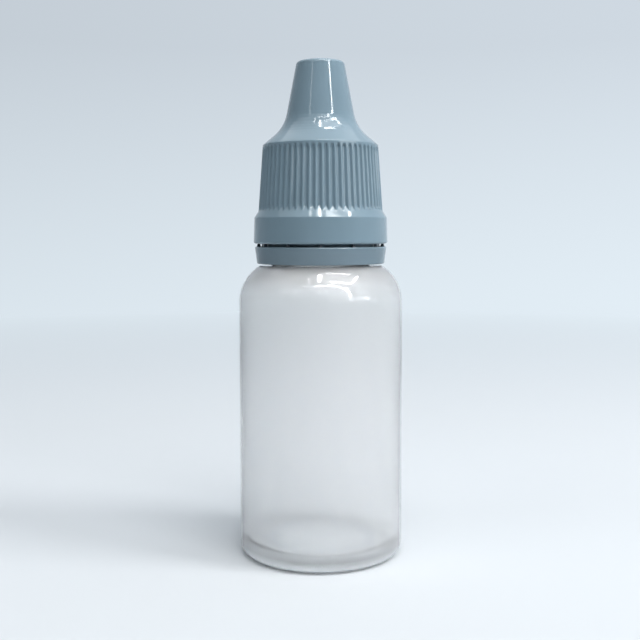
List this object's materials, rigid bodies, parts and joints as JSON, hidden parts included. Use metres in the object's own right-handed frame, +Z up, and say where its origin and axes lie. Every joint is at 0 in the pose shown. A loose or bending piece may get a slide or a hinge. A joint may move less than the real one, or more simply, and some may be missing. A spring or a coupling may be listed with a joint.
{
  "type": "eye drop bottle",
  "caption": "Closed cylindrical squeeze bottle of milky plastic with a rounded shoulder, a ribbed blue-grey screw cap with a tapered spout, and a tamper ring below it.",
  "frame": {"origin": "centre of the ring that the bottle stands on, at the level of the table", "axes": "+Z up along the axis of the bottle, towards the cap"},
  "size_m": [0.0225, 0.0224, 0.0678],
  "materials": {
    "bottle_plastic": "milky translucent soft polyethylene, smooth and glossy",
    "insert_plastic": "natural polyethylene, slightly translucent",
    "cap_plastic": "glossy blue-grey moulded plastic",
    "ring_plastic": "blue-grey moulded plastic, satin gloss"
  },
  "bodies": {
    "bottle": {"bottle": "bottle_plastic", "dropper_insert": "insert_plastic"},
    "tamper_ring": {"tamper_ring": "ring_plastic", "tamper_bridges": "ring_plastic"},
    "cap": {"cap": "cap_plastic"}
  },
  "joints": [
    {"name": "cap_turn", "type": "hinge", "parent": "bottle", "child": "tamper_ring", "pos_m": [0, 0, 0.0413], "axis": [0, 0, 1], "range_deg": [0, 3600]},
    {"name": "cap_lift", "type": "slide", "parent": "tamper_ring", "child": "cap", "axis": [0, 0, 1], "range_m": [0, 0.025]}
  ],
  "couplings": [
    {"joint": "cap_lift", "follows": "cap_turn", "m_per_rad": 0.00039789}
  ]
}
